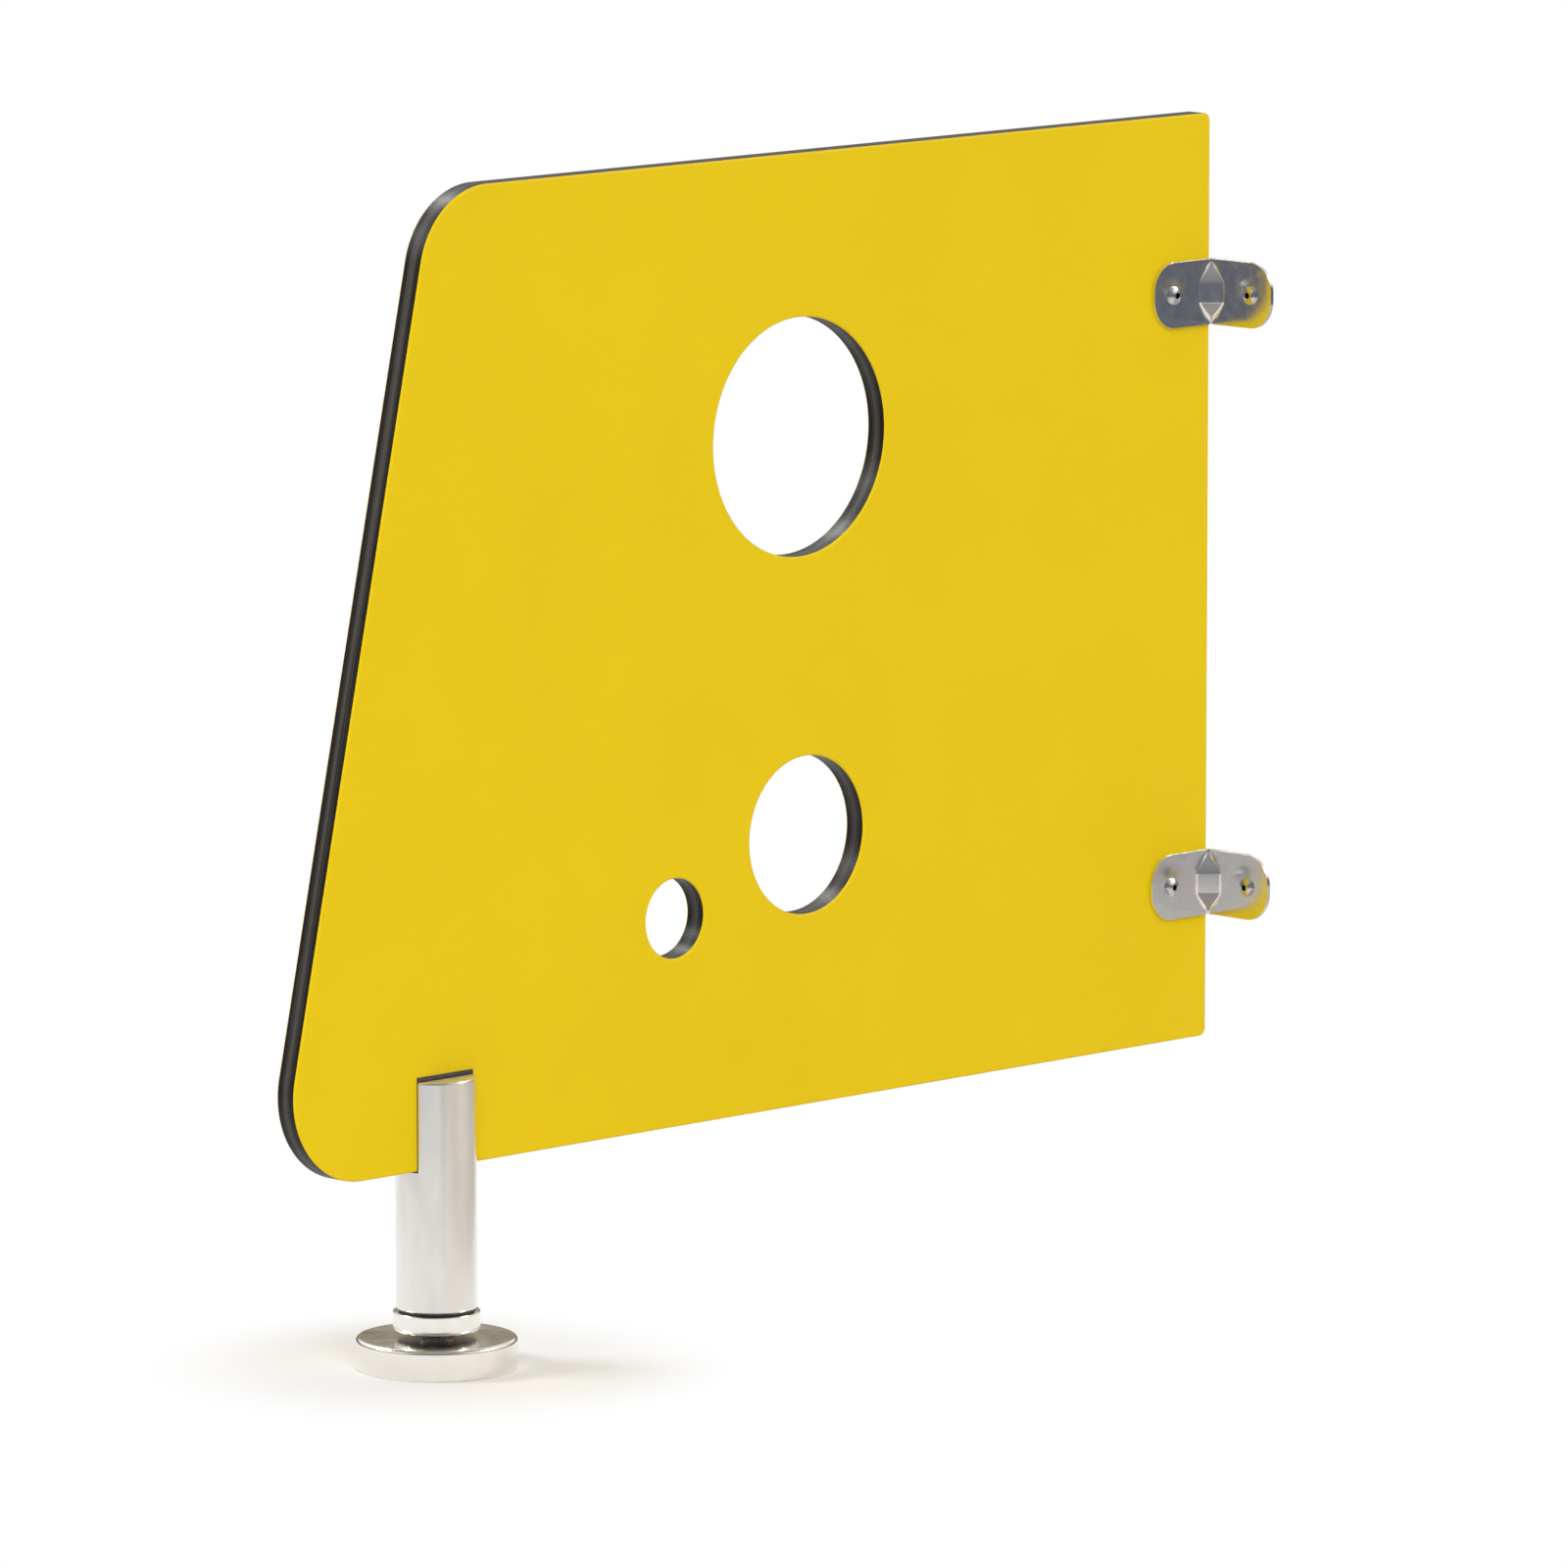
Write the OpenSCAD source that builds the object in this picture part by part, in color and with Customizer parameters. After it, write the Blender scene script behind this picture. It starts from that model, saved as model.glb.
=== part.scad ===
// Low washroom partition panel for children: a sheet of black-cored compact laminate with three
// round openings, held by one slotted round leg with a screw foot and by two pressed wall brackets.
// The leg axis is the Z axis and the floor is Z = 0. X runs along the panel to the wall,
// and the panel's front face looks along -Y.

/* [Panel] */
// Height of the panel itself
panel_h = 480; // [400:5:700]
// Width along the bottom edge, from the wall edge to the square free corner
panel_bottom_w = 650; // [600:5:800]
// Width along the top edge, less than the bottom because the free edge leans
panel_top_w = 545; // [500:5:640]
// Full thickness, core and both decor sheets
panel_t = 13; // [10:0.5:16]
// Thickness of each decor sheet
decor_t = 1; // [0.6:0.1:1.5]
// Radius of the two free corners
free_corner_r = 45; // [20:1:60]
// Radius of the two corners at the wall
wall_corner_r = 4; // [2:0.5:10]
// Clear height under the panel
floor_gap = 100; // [90:1:160]
// Joint between the panel and the wall
wall_joint = 1; // [0.5:0.5:4]

/* [Openings] */
// Diameter of the large opening
large_d = 120; // [80:1:140]
// Its centre, measured from the wall edge
large_from_wall = 296; // [240:1:320]
// Its centre, measured up from the bottom edge
large_up = 338; // [310:1:345]
// Diameter of the middle opening
middle_d = 80; // [50:1:100]
// Its centre, measured from the wall edge
middle_from_wall = 291; // [240:1:300]
// Its centre, measured up from the bottom edge
middle_up = 137; // [110:1:160]
// Diameter of the small opening
small_d = 40; // [25:1:50]
// Its centre, measured from the wall edge
small_from_wall = 383; // [375:1:420]
// Its centre, measured up from the bottom edge
small_up = 105; // [90:1:150]

/* [Leg] */
// Distance of the leg axis from the square free corner of the bottom edge
leg_inset = 110; // [90:1:160]
// Diameter of the slotted leg post
post_d = 40; // [36:0.5:50]
// Depth of the slot that grips the panel
slot_depth = 45; // [40:1:70]
// Thickness of the rubber liner between the panel and the jaws
liner_t = 0.6; // [0.5:0.1:2]
// Height that the liner stands above the jaws
liner_proud = 2.2; // [0.5:0.1:4]
// Chamfer on the post's rims
post_chamfer = 1.2; // [0.3:0.1:1.5]
// Diameter of the two screws that clamp the jaws
clamp_d = 6; // [5:0.5:6]
// Height of the lower clamp screw above the bottom edge of the panel
clamp_low_up = 12; // [10:1:14]
// Distance between the two clamp screws
clamp_pitch = 18; // [14:1:20]

/* [Foot] */
// Diameter of the threaded stud
stud_d = 16; // [12:1:18]
// Length of stud inside the post
stud_reach = 36; // [32:1:40]
// Length of the guide bush
bush_len = 24; // [16:1:28]
// Wall thickness of the guide bush
bush_wall = 3; // [2:0.5:4]
// Diameter of the adjusting collar
collar_d = 43; // [41:0.5:60]
// Height of the adjusting collar
collar_h = 9.8; // [8:0.1:14]
// Thickness of the washer that the post turns the collar on
washer_t = 1.2; // [0.6:0.1:2]
// Height of stud that shows between the collar and the cover
neck_h = 3.2; // [3.2:0.1:10]
// Diameter of the cover over the floor flange
cover_d = 80; // [76:1:100]
// Height of the cover
cover_h = 15.2; // [14.6:0.1:20]
// Sheet thickness of the cover
cover_wall = 1.5; // [1:0.1:1.8]
// Thickness of the floor flange
flange_t = 4; // [3:0.5:4]
// Thickness of the rubber pad under the flange
pad_t = 1; // [0.5:0.1:1.5]
// Number of floor screw holes
floor_holes = 3; // [3:1:6]
// Diameter of the floor screw holes
floor_hole_d = 5.5; // [4:0.1:6]
// Diameter of the circle that the floor screw holes lie on
floor_circle_d = 54; // [50:1:56]

/* [Wall brackets] */
// Length of each flange, from the bracket's outer corner
bracket_len = 44; // [40:1:60]
// Height of the bracket
bracket_h = 34; // [30:1:45]
// Sheet thickness of the bracket
bracket_t = 2; // [1.5:0.1:2.5]
// Corner radius at the end of each flange
bracket_end_r = 15; // [8:0.5:15]
// Screw hole centre, measured from the end of the flange
bracket_hole_in = 14.5; // [10:0.5:16]
// Upper bracket centre, measured down from the top edge
upper_bracket_down = 92; // [60:1:150]
// Lower bracket centre, measured up from the bottom edge
lower_bracket_up = 81; // [50:1:150]
// Reach of the pressed gusset along each flange
gusset_reach = 11; // [10:0.5:15]
// Height of the upright middle of the gusset, between its sloping ends
gusset_band = 10; // [4:0.5:16]
// Diameter of the bracket screws
screw_d = 5; // [4:0.5:6]
// Length of wall screw beyond the wall face
wall_screw_out = 10; // [6:1:16]

/* [Hidden] */
$fn = 96;

overrun = 1;        // every cut runs this far past the face that it opens
thread_gap = 0.05;  // radial gap of a screw, stud or insert in its hole
run_gap = 0.1;      // gap between faces that turn on each other
seat_gap = 0.25;    // gap round pieces that drop into place

// The panel's outline, in the X and Z of the object
core_t = panel_t - 2 * decor_t;
front_y = -panel_t / 2;
wall_edge_x = panel_bottom_w - leg_inset;
wall_x = wall_edge_x + wall_joint;
free_bottom_x = -leg_inset;
free_top_x = wall_edge_x - panel_top_w;
bottom_z = floor_gap;
top_z = floor_gap + panel_h;
outline_points = [[free_bottom_x, bottom_z], [wall_edge_x, bottom_z],
                  [wall_edge_x, top_z], [free_top_x, top_z]];
outline_radii = [free_corner_r, wall_corner_r, wall_corner_r, free_corner_r];
openings = [[large_d, large_from_wall, large_up],
            [middle_d, middle_from_wall, middle_up],
            [small_d, small_from_wall, small_up]];

// Heights up the leg
flange_z = pad_t;
locknut_z = flange_z + flange_t;
collar_z = cover_h + neck_h;
washer_z = collar_z + collar_h + run_gap;
post_z = washer_z + washer_t;
slot_z = bottom_z - liner_t;
jaw_z = slot_z + slot_depth;
slot_w = panel_t + 2 * liner_t;

// Clamp screws: socket heads sunk in the rear jaw, ends tapped into the front jaw
clamp_hole_d = 1.1 * clamp_d;
clamp_head_d = 1.65 * clamp_d;
clamp_head_h = clamp_d;
clamp_key = 0.83 * clamp_d;
clamp_sink = 0.8;   // depth of the head below the side of the post
clamp_skin = 3;     // metal left in front of the tapped holes
clamp_end_y = clamp_skin - post_d / 2;
clamp_recess_d = clamp_head_d + 2 * seat_gap;
clamp_top_y = sqrt(pow(post_d / 2, 2) - pow(clamp_recess_d / 2, 2)) - clamp_sink;
clamp_seat_y = clamp_top_y - clamp_head_h;

// Foot
bush_d = stud_d + 2 * bush_wall;
bore_spare = 9;     // room above the stud when the foot is screwed right in
collar_round = 2.5; // radius of the collar's lower edge
collar_chamfer = 0.5;
washer_d = post_d - 2 * post_chamfer;
stud_hole_d = stud_d + 2 * run_gap + 2 * seat_gap;
cover_round = 2;    // radius of the cover's top edge
flange_d = cover_d - 2 * cover_wall - 2 * seat_gap;
locknut_af = 1.5 * stud_d;
locknut_h = min(stud_d / 2, cover_h - cover_wall - seat_gap - locknut_z);
locknut_chamfer = 1; // on the nut's corners
floor_head_d = 2 * floor_hole_d;
stud_chamfer = 1;

// Brackets
bend_r = 1.5;       // inside radius of the bend
bend_face = sqrt(2) * (bend_r + bracket_t) - bend_r; // from the outer corner to the bend's inner face
gusset_inner_r = 1; // inside radius of the folds above and below the gusset's web
gusset_margin = 2;  // plain bend left above and below the gusset
gusset_depth = (gusset_reach + bracket_t) / sqrt(2); // from the outer corner to the front of the web
gusset_lean = atan2(gusset_depth - bend_face, bracket_h / 2 - gusset_margin - gusset_band / 2);
upper_bracket_z = top_z - upper_bracket_down;
lower_bracket_z = bottom_z + lower_bracket_up;
bracket_hole_d = 1.1 * screw_d;
hole_from_corner = bracket_len - bracket_hole_in;
panel_screw_x = wall_x - hole_from_corner;
wall_screw_y = front_y - hole_from_corner;
neck_d = 0.84 * screw_d; // the plain neck above the thread, as long as the bracket is thick
head_d = 1.9 * screw_d;
head_h = 0.55 * screw_d;
head_rim_h = 0.16 * screw_d;
head_key = 0.6 * screw_d;
insert_d = 1.5 * screw_d;
insert_floor = 4;   // laminate left behind the insert
insert_len = panel_t - insert_floor;
panel_screw_len = insert_len + bracket_t - seat_gap - overrun;

function unit(v) = v / norm(v);
function toward(p, q) = unit(q - p);

// A polygon whose corners are rounded, each with its own radius
module rounded_outline(points, radii) {
    last = len(points) - 1;
    before = [for (i = [0:last]) toward(points[i], points[i == 0 ? last : i - 1])];
    after = [for (i = [0:last]) toward(points[i], points[i == last ? 0 : i + 1])];
    half = [for (i = [0:last]) acos(before[i] * after[i]) / 2];
    run = [for (i = [0:last]) radii[i] / tan(half[i])];
    polygon([for (i = [0:last]) each [points[i] + run[i] * before[i], points[i] + run[i] * after[i]]]);
    for (i = [0:last])
        translate(points[i] + unit(before[i] + after[i]) * radii[i] / sin(half[i])) circle(r = radii[i]);
}

// A cylinder that lies along Y, from one Y to another, and one along X
module along_y(d, from, to) translate([0, from, 0]) rotate([-90, 0, 0]) cylinder(d = d, h = to - from);
module along_x(d, from, to) translate([from, 0, 0]) rotate([0, 90, 0]) cylinder(d = d, h = to - from);

module at_clamps() {
    for (i = [0, 1]) translate([0, 0, bottom_z + clamp_low_up + i * clamp_pitch]) children();
}
module at_brackets() for (z = [upper_bracket_z, lower_bracket_z]) translate([0, 0, z]) children();

// One layer of the laminate between two depths, with its openings and the holes of its fixings
module layer(from, to) {
    difference() {
        translate([0, to, 0]) rotate([90, 0, 0]) linear_extrude(to - from) difference() {
            rounded_outline(outline_points, outline_radii);
            for (o = openings) translate([wall_edge_x - o[1], bottom_z + o[2]]) circle(d = o[0]);
        }
        at_clamps() along_y(clamp_hole_d, from - overrun, to + overrun);
        at_brackets() translate([panel_screw_x, 0, 0])
            along_y(insert_d + 2 * thread_gap, front_y - overrun, front_y + insert_len);
    }
}

module core_panel() color([0.13, 0.12, 0.12]) layer(-core_t / 2, core_t / 2);
module front_decor() color([0.90, 0.77, 0.10]) layer(front_y, -core_t / 2);
module rear_decor() color([0.90, 0.77, 0.10]) layer(core_t / 2, -front_y);

// A round bar whose ends are chamfered
module chamfered_bar(d, h, chamfer) {
    rotate_extrude() polygon([[0, 0], [d / 2 - chamfer, 0], [d / 2, chamfer],
                              [d / 2, h - chamfer], [d / 2 - chamfer, h], [0, h]]);
}

// The slot's section across the panel, open upward, its mouth eased by the same chamfer as the rims
module slot_section() {
    mouth = slot_w / 2 + post_chamfer;
    height = jaw_z - slot_z;
    polygon([[-slot_w / 2, 0], [slot_w / 2, 0], [slot_w / 2, height - post_chamfer], [mouth, height],
             [mouth, height + overrun], [-mouth, height + overrun], [-mouth, height],
             [-slot_w / 2, height - post_chamfer]]);
}

module leg_post() color([0.80, 0.79, 0.77]) difference() {
    translate([0, 0, post_z]) chamfered_bar(post_d, jaw_z - post_z, post_chamfer);
    translate([-post_d / 2 - overrun, 0, slot_z]) rotate([90, 0, 90])
        linear_extrude(post_d + 2 * overrun) slot_section();
    translate([0, 0, post_z - overrun]) {
        cylinder(d = bush_d + 2 * thread_gap, h = bush_len + overrun);
        cylinder(d = stud_hole_d, h = stud_reach + bore_spare + overrun);
    }
    at_clamps() {
        along_y(clamp_d + 2 * thread_gap, clamp_end_y - seat_gap, 0);
        along_y(clamp_hole_d, 0, post_d / 2);
        along_y(clamp_recess_d, clamp_seat_y, post_d / 2 + overrun);
    }
}

// A folded rubber strip that lines the slot and stands a little above the jaws
module slot_liner() color([0.10, 0.09, 0.09]) difference() {
    translate([0, 0, slot_z]) intersection() {
        cylinder(d = post_d - 2 * seat_gap, h = slot_depth + liner_proud);
        translate([-post_d / 2, -slot_w / 2, 0]) cube([post_d, slot_w, slot_depth + liner_proud]);
    }
    translate([-post_d / 2 - overrun, front_y, bottom_z])
        cube([post_d + 2 * overrun, panel_t, slot_depth + liner_proud]);
    at_clamps() along_y(clamp_hole_d, -slot_w / 2 - overrun, slot_w / 2 + overrun);
}

module leg_clamp_screws() color([0.62, 0.62, 0.63]) at_clamps() difference() {
    union() {
        along_y(clamp_d, clamp_end_y, clamp_seat_y);
        along_y(clamp_head_d, clamp_seat_y, clamp_top_y);
    }
    translate([0, clamp_seat_y + clamp_head_h / 2, 0]) rotate([-90, 0, 0])
        cylinder(d = clamp_key / cos(30), h = clamp_head_h, $fn = 6);
}

module guide_bush() color([0.93, 0.92, 0.88]) translate([0, 0, post_z]) difference() {
    cylinder(d = bush_d, h = bush_len);
    translate([0, 0, -overrun]) cylinder(d = stud_d + 2 * thread_gap, h = bush_len + 2 * overrun);
}

module thrust_washer() color([0.12, 0.12, 0.12]) translate([0, 0, washer_z]) difference() {
    cylinder(d = washer_d, h = washer_t);
    translate([0, 0, -overrun]) cylinder(d = stud_hole_d, h = washer_t + 2 * overrun);
}

// A round nut that carries the post: rounded below, chamfered above
module adjusting_collar() color([0.84, 0.83, 0.80]) translate([0, 0, collar_z]) rotate_extrude() {
    inner = stud_d / 2 + thread_gap;
    outer = collar_d / 2;
    translate([outer - collar_round, collar_round]) circle(r = collar_round);
    polygon([[inner, 0], [outer - collar_round, 0], [outer - collar_round, collar_round],
             [outer, collar_round], [outer, collar_h - collar_chamfer],
             [outer - collar_chamfer, collar_h], [inner, collar_h]]);
}

module threaded_stud() color([0.60, 0.60, 0.61]) translate([0, 0, flange_z])
    chamfered_bar(stud_d, post_z + stud_reach - flange_z, stud_chamfer);

module stud_locknut() color([0.66, 0.66, 0.67]) translate([0, 0, locknut_z]) difference() {
    intersection() {
        cylinder(d = locknut_af / cos(30), h = locknut_h, $fn = 6);
        chamfered_bar(locknut_af / cos(30), locknut_h, locknut_chamfer);
    }
    translate([0, 0, -overrun]) cylinder(d = stud_d + 2 * thread_gap, h = locknut_h + 2 * overrun);
}

module at_floor_holes() {
    for (i = [0:floor_holes - 1]) rotate([0, 0, 90 + i * 360 / floor_holes])
        translate([floor_circle_d / 2, 0, 0]) children();
}

// A turned disc, tapped for the stud and countersunk for the floor screws
module base_flange() color([0.70, 0.70, 0.71]) translate([0, 0, flange_z]) difference() {
    sink = (floor_head_d - floor_hole_d) / 2;
    cylinder(d = flange_d, h = flange_t);
    translate([0, 0, -overrun]) cylinder(d = stud_d + 2 * thread_gap, h = flange_t + 2 * overrun);
    at_floor_holes() {
        translate([0, 0, -overrun]) cylinder(d = floor_hole_d, h = flange_t + 2 * overrun);
        translate([0, 0, flange_t - sink])
            cylinder(d1 = floor_hole_d, d2 = floor_head_d + 2 * overrun, h = sink + overrun);
    }
}

// A deep-drawn cup that hides the flange and its screws
module cover_rosette() color([0.84, 0.83, 0.80]) rotate_extrude() {
    outer = cover_d / 2;
    corner = outer - cover_round;
    translate([outer - cover_wall, 0]) square([cover_wall, cover_h - cover_round]);
    translate([stud_hole_d / 2, cover_h - cover_wall]) square([corner - stud_hole_d / 2, cover_wall]);
    intersection() {
        translate([corner, cover_h - cover_round]) difference() {
            circle(r = cover_round);
            circle(r = cover_round - cover_wall);
        }
        translate([corner, cover_h - cover_round]) square(cover_round);
    }
}

module floor_pad() color([0.11, 0.11, 0.11]) difference() {
    cylinder(d = flange_d, h = pad_t);
    at_floor_holes() translate([0, 0, -overrun]) cylinder(d = floor_hole_d, h = pad_t + 2 * overrun);
}

// One flange lying in the X and Z plane, its free end rounded, its back face at Y = 0
module flange_blank() {
    bend = bend_r + bracket_t;
    rotate([90, 0, 0]) linear_extrude(bracket_t)
        rounded_outline([[-bracket_len, -bracket_h / 2], [-bend, -bracket_h / 2],
                         [-bend, bracket_h / 2], [-bracket_len, bracket_h / 2]],
                        [bracket_end_r, seat_gap, seat_gap, bracket_end_r]);
}

// The gusset's form, across the corner from the back of the bend to a skin's depth behind the web's front:
// the web is upright in the middle and leans back into the bend above and below
module gusset_form(skin) {
    depth = gusset_depth - skin;
    half_band = gusset_band / 2 - skin * tan(gusset_lean / 2);
    half_back = half_band + (depth + overrun) / tan(gusset_lean);
    fold_r = gusset_inner_r + bracket_t - skin;
    rotate([90, 0, 45]) translate([0, 0, -depth - overrun]) linear_extrude(2 * (depth + overrun))
        rounded_outline([[overrun, -half_back], [overrun, half_back], [-depth, half_band], [-depth, -half_band]],
                        [seat_gap, seat_gap, fold_r, fold_r]);
}

// A pressed corner bracket. Its outer corner is the origin, its flanges run along -X and -Y
module bracket() {
    bend = bend_r + bracket_t;
    difference() {
        union() {
            flange_blank();
            mirror([1, -1, 0]) flange_blank();
            translate([-bend, -bend, -bracket_h / 2]) rotate_extrude(angle = 90)
                translate([bend_r, 0]) square([bracket_t, bracket_h]);
            intersection() {
                gusset_form(0);
                translate([-bracket_len, -bracket_len, -bracket_h / 2])
                    cube([bracket_len, bracket_len, bracket_h]);
            }
        }
        gusset_form(bracket_t);
        translate([-hole_from_corner, 0, 0]) along_y(bracket_hole_d, -bracket_t - overrun, overrun);
        translate([0, -hole_from_corner, 0]) along_x(bracket_hole_d, -bracket_t - overrun, overrun);
    }
}

module upper_bracket() color([0.50, 0.51, 0.54]) translate([wall_x, front_y, upper_bracket_z]) bracket();
module lower_bracket() color([0.50, 0.51, 0.54]) translate([wall_x, front_y, lower_bracket_z]) bracket();

module panel_inserts() color([0.72, 0.58, 0.30]) at_brackets() translate([panel_screw_x, 0, 0])
    difference() {
        along_y(insert_d, front_y, front_y + insert_len);
        along_y(screw_d + 2 * thread_gap, front_y - overrun, front_y + insert_len + overrun);
    }

// A pan head screw whose shank runs up Z from its seat at Z = 0, with the head below
module pan_screw(shank) difference() {
    union() {
        cylinder(d = neck_d, h = bracket_t);
        translate([0, 0, bracket_t]) cylinder(d = screw_d, h = shank - bracket_t);
        translate([0, 0, -head_rim_h]) cylinder(d = head_d, h = head_rim_h);
        mirror([0, 0, 1]) translate([0, 0, head_rim_h]) dome(head_d, head_h - head_rim_h);
    }
    mirror([0, 0, 1]) translate([0, 0, head_h / 3]) cylinder(d = head_key / cos(30), h = head_h, $fn = 6);
}

// A cap cut from a ball: d across its flat, h high
module dome(d, h) {
    ball_r = (pow(d / 2, 2) + pow(h, 2)) / (2 * h);
    intersection() {
        translate([0, 0, h - ball_r]) sphere(r = ball_r);
        cylinder(d = d, h = h);
    }
}

module panel_screws() color([0.74, 0.74, 0.75]) at_brackets()
    translate([panel_screw_x, front_y - bracket_t, 0]) rotate([-90, 0, 0]) pan_screw(panel_screw_len);

module wall_screws() color([0.74, 0.74, 0.75]) at_brackets()
    translate([wall_x - bracket_t, wall_screw_y, 0]) rotate([0, 90, 0]) pan_screw(bracket_t + wall_screw_out);

core_panel();
front_decor();
rear_decor();
leg_post();
slot_liner();
leg_clamp_screws();
guide_bush();
thrust_washer();
adjusting_collar();
threaded_stud();
stud_locknut();
base_flange();
cover_rosette();
floor_pad();
upper_bracket();
lower_bracket();
panel_inserts();
panel_screws();
wall_screws();
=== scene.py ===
import math

import bmesh
import bpy
from mathutils import Matrix, Vector


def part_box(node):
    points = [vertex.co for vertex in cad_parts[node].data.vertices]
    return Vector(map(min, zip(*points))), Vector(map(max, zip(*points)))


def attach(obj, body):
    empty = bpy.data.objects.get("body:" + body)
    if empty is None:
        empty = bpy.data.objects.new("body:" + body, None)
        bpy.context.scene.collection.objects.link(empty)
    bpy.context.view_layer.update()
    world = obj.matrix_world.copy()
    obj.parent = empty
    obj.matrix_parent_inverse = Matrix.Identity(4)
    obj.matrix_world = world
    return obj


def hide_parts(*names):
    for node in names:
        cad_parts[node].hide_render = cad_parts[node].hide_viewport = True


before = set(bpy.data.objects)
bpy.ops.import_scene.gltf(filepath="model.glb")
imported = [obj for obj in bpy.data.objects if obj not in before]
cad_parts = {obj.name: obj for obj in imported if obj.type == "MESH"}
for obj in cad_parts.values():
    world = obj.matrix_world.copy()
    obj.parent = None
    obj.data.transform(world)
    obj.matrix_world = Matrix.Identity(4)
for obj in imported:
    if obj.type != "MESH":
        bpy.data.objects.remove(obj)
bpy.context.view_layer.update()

# The panel. A sheet of compact laminate: paper plies pressed with black resin into a solid core, with a
# plain yellow melamine decor on each face. It is sawn to its leaning outline, its corners and three
# openings are routed round, and every rim is eased so that it is safe to touch.
mm = 0.001
speck = mm / 1000      # what lies closer than this counts as touching
panel_low, panel_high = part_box("core_panel")
front_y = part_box("front_decor")[0].y
back_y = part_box("rear_decor")[1].y
bottom_width = 650 * mm
top_width = 545 * mm
free_corner = 45 * mm
wall_corner = 4 * mm
rim_ease = 1.3 * mm
openings = [(120 * mm, 296 * mm, 338 * mm),   # diameter, in from the wall edge, up from the bottom edge
            (80 * mm, 291 * mm, 137 * mm),
            (40 * mm, 383 * mm, 105 * mm)]
least_sides = 24       # of an opening, which gets one more for each millimetre of its diameter


def rounded_corner(bm, before, corner, after, radius):
    """A corner of the outline as an arc, made by turning its first point about the arc's centre."""
    inward = (corner - before).normalized()
    outward = (after - corner).normalized()
    turn = inward.angle(outward)
    first = corner - inward * radius * math.tan(turn / 2)
    centre = first + Vector((-inward.z, 0, inward.x)) * radius
    count = len(bm.verts)
    bmesh.ops.spin(bm, geom=[bm.verts.new(first)], cent=centre, axis=(0, -1, 0), angle=turn,
                   steps=max(6, round(radius / mm)))
    bm.verts.ensure_lookup_table()
    return bm.verts[count:]


def verts_of(geometry):
    """The vertices in what an operator gives back."""
    return [part for part in geometry if isinstance(part, bmesh.types.BMVert)]


def bisect(bm, place, normal, clear=False):
    """Cuts a mesh along a plane, and clears what lies outside it."""
    return bmesh.ops.bisect_plane(bm, geom=bm.verts[:] + bm.edges[:] + bm.faces[:], dist=1e-8,
                                  plane_co=place, plane_no=normal, clear_outer=clear)


def bevel(bm, edges, width, segments):
    """Rounds edges with an even width."""
    bmesh.ops.bevel(bm, geom=edges, offset=width, offset_type="OFFSET", segments=segments, profile=0.5,
                    affect="EDGES", material=-1)


def sharp_edges(bm, least=60):
    """The edges where two faces meet at more than an angle in degrees."""
    return [e for e in bm.edges if e.calc_face_angle(0) > math.radians(least)]


def new_object(name, bm):
    """An object at the origin that takes over a finished bmesh."""
    mesh = bpy.data.meshes.new(name)
    bm.to_mesh(mesh)
    bm.free()
    piece = bpy.data.objects.new(name, mesh)
    bpy.context.scene.collection.objects.link(piece)
    return piece


def bit(start, end, radius, sides=48):
    """A round or six-sided bit that lies from one point to another. The cut uses it up."""
    bm = bmesh.new()
    start, end = Vector(start), Vector(end)
    turn = (end - start).to_track_quat("Z", "Y").to_matrix().to_4x4()
    bmesh.ops.create_cone(bm, cap_ends=True, segments=sides, radius1=radius, radius2=radius,
                          depth=(end - start).length, matrix=Matrix.Translation((start + end) / 2) @ turn)
    return new_object("bit", bm)


def shaped(piece, parts=(), operation="DIFFERENCE"):
    """Cuts parts out of a piece, or joins them to it, settles all its modifiers into its mesh, and fills the
    slivers that a cut can leave open."""
    for part in parts:
        step = piece.modifiers.new("shape", "BOOLEAN")
        step.object = part
        step.operation = operation
        step.solver = "EXACT"
    settled = piece.evaluated_get(bpy.context.evaluated_depsgraph_get())
    mesh = bpy.data.meshes.new_from_object(settled)
    whole = bmesh.new()
    whole.from_mesh(mesh)
    bmesh.ops.holes_fill(whole, edges=whole.edges[:], sides=8)
    whole.to_mesh(mesh)
    whole.free()
    piece.modifiers.clear()
    piece.data = mesh
    for part in parts:
        bpy.data.objects.remove(part)
    return piece


def fit_piece(piece, finish, body, nodes=(), crease=35):
    """Shades a piece so that its flats stay flat, gives it its finish, and fits it to a body."""
    piece.data.polygons.foreach_set("use_smooth", [True] * len(piece.data.polygons))
    piece.data.set_sharp_from_angle(angle=math.radians(crease))
    even = piece.modifiers.new("even_shading", "WEIGHTED_NORMAL")
    even.weight = 100
    even.keep_sharp = True
    piece.data.materials.clear()
    piece.data.materials.append(finish)
    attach(piece, body)
    if nodes:
        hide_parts(*nodes)


def new_finish(name, colour, roughness, metallic=0.0, **sockets):
    """A finish whose even values sit on the shader's own sockets."""
    finish = bpy.data.materials.new(name)
    finish.use_nodes = True
    shader = finish.node_tree.nodes["Principled BSDF"]
    shader.inputs["Base Color"].default_value = (*colour, 1)
    shader.inputs["Roughness"].default_value = roughness
    shader.inputs["Metallic"].default_value = metallic
    for socket, value in sockets.items():
        shader.inputs[socket.replace("_", " ").title().replace("Ior", "IOR")].default_value = value
    return finish


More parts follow.
